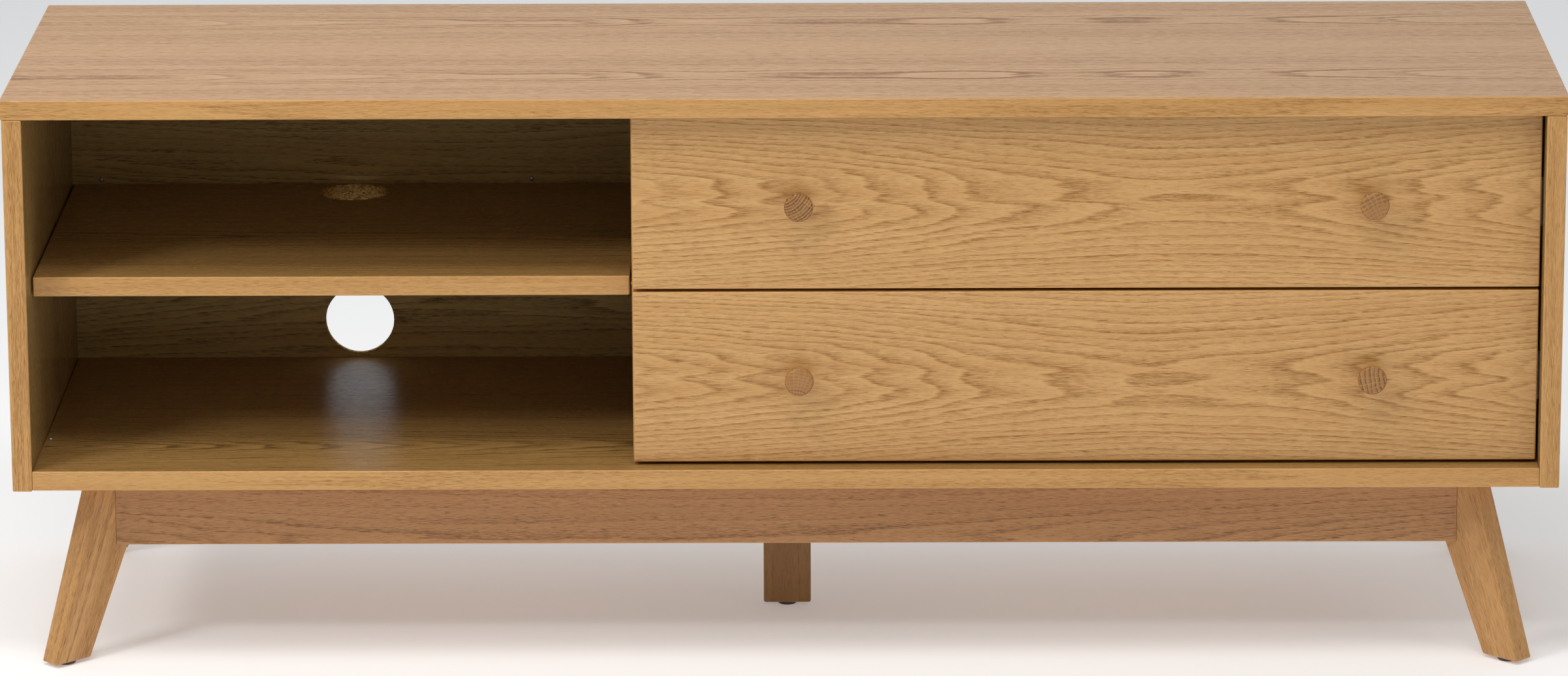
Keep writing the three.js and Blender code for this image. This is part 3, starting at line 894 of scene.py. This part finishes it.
def knob_profile(length, head_radius):
    """The knob from its foot on the drawer front to the middle of its face."""
    foot_radius = 8 * MM
    neck_radius = 7 * MM
    neck_rise = 4 * MM
    head_thickness = 4 * MM
    rim = 2.5 * MM
    crown = 0.25 * MM
    head_start = length - head_thickness
    rim_start = length - crown - rim
    flare = [
        (
            neck_radius + (head_radius - neck_radius) * (1 - math.cos(turn)),
            neck_rise + (head_start - neck_rise) * math.sin(turn),
        )
        for turn in quarter_turn(10)
    ]
    rounded = [
        (head_radius - rim * (1 - math.cos(turn)), rim_start + rim * math.sin(turn))
        for turn in quarter_turn(6)
    ]
    face = [(head_radius - rim) * share for share in (0.75, 0.5, 0.25)]
    crowned = [(radius, length - crown * (radius / head_radius) ** 2) for radius in face]
    return [(0, 0), (foot_radius, 0), *flare, *rounded, *crowned, (0, length)]


def add_knobs():
    for i, (spot, (degrees, ring_marks)) in enumerate(KNOBS.items()):
        node = f"{spot}_knob"
        low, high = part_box(node)
        centre = centre_of(node)
        place = Matrix.Translation((centre.x, high.y, centre.z)) @ Matrix.Rotation(math.pi / 2, 4, "X")
        profile = knob_profile(high.y - low.y, (high.x - low.x) / 2)
        angle = math.radians(degrees)
        across = Vector((math.cos(angle), 0, math.sin(angle)))
        figure = Figure(ring=2.6 + 0.5 * i, depth=26 + 5 * i, arch_length=900, wander=0.3, wander_width=12)
        tone = replace(KNOB_TONE, rings=ring_marks)
        material = oak(f"{node}_oak", centre, Y_AXIS, across, figure, tone, 40 + i)
        stand_in(piece_from(turned(profile, KNOB_SEGMENTS, place), f"{node}_turned", [material]), node)


def reach(node, direction):
    """The least and greatest distance of a CAD node's points along a direction."""
    distances = [vertex.co.dot(direction) for vertex in frame["nodes"][node].data.vertices]
    return min(distances), max(distances)


def add_legs():
    """Splayed planks on the diagonals of the corners, wider at the top than at the foot."""
    for i, place in enumerate(("front", "rear")):
        for j, side in enumerate(("left", "right")):
            node = f"{place}_{side}_leg"
            inward = Vector((1 - 2 * j, 1 - 2 * i, 0)).normalized()
            sideways = Z_AXIS.cross(inward)
            low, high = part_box(node)
            outer, inner = reach(node, inward)
            flat = sum(reach(node, sideways)) / 2
            base = sideways * (flat - LEG_THICKNESS / 2)
            outline = [
                base + inward * outer + Z_AXIS * low.z,
                base + inward * (outer + LEG_FOOT_WIDTH) + Z_AXIS * low.z,
                base + inward * inner + Z_AXIS * high.z,
                base + inward * (inner - LEG_TOP_WIDTH) + Z_AXIS * high.z,
            ]
            foot = (outline[0] + outline[1]) / 2
            head = (outline[2] + outline[3]) / 2
            along = (head - foot).normalized()
            across = sideways.cross(along)
            seed = 50 + 2 * i + j
            material = oak(f"{node}_oak", (foot + head) / 2, along, across, LEG_FIGURE, LEG_TONE, seed)
            data = eased_prism(outline, sideways * LEG_THICKNESS, LEG_EASING)
            stand_in(piece_from(data, f"{node}_plank", [material]), node)


def add_mitred_rail(node, along, outward, seed):
    """A rail whose two ends are cut back at 45 degrees from its outer face."""
    start, end = reach(node, along)
    inner, outer = reach(node, outward)
    low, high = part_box(node)
    thickness = outer - inner
    outline = [
        along * start + outward * outer,
        along * end + outward * outer,
        along * (end - thickness) + outward * inner,
        along * (start + thickness) + outward * inner,
    ]
    outline = [point + Z_AXIS * low.z for point in outline]
    material = veneer(node, along, Z_AXIS, RAIL_FIGURE, RAIL_TONE, seed, f"{node}_oak")
    data = eased_prism(outline, Z_AXIS * (high.z - low.z), FINE_EASING)
    stand_in(piece_from(data, f"{node}_plank", [material]), node)


def add_underframe():
    add_mitred_rail("front_apron", X_AXIS, -Y_AXIS, 60)
    add_mitred_rail("rear_apron", X_AXIS, Y_AXIS, 61)
    add_mitred_rail("left_rail", Y_AXIS, -X_AXIS, 62)
    add_mitred_rail("right_rail", Y_AXIS, X_AXIS, 63)
    rail = veneer("centre_rail", Y_AXIS, Z_AXIS, CENTRE_RAIL_FIGURE, RAIL_PAINTED_SHADE_TONE, 64, "centre_rail_oak")
    board("centre_rail", FINE_EASING, X_AXIS, [rail, rail], rail)
    leg = veneer("centre_leg", Z_AXIS, X_AXIS, CENTRE_LEG_FIGURE, RAIL_PAINTED_SHADE_TONE, 65, "centre_leg_oak")
    board("centre_leg", LEG_EASING, Y_AXIS, [leg, leg], leg)
    add_legs()


def finish_metal_and_plastic():
    """The CAD nodes that keep their own shapes get their materials."""
    finishes = {
        "steel": metal("zinc_plated_steel", (0.60, 0.62, 0.63, 1), 0.28, 70),
        "plastic": moulded_plastic("dark_plastic", colour(62, 50, 40)),
    }
    for node, slot in SLOT_OF.items():
        if slot in finishes:
            for material_slot in frame["nodes"][node].material_slots:
                material_slot.material = finishes[slot]


def add_floor():
    data = bmesh.new()
    bmesh.ops.create_grid(data, x_segments=FLOOR_CELLS, y_segments=FLOOR_CELLS, size=FLOOR_SIZE / 2)
    piece_from(data, "pale_floor", [floor_finish()])


# ---------------------------------------------------------------- the scene

add_camera()
add_world()
for soft_box in SOFT_BOXES:
    add_soft_box(*soft_box)
add_floor()
chipboard = particle_board("particle_board")
add_carcass()
add_drawer_fronts()
add_drawer_boxes()
add_knobs()
add_underframe()
finish_metal_and_plastic()
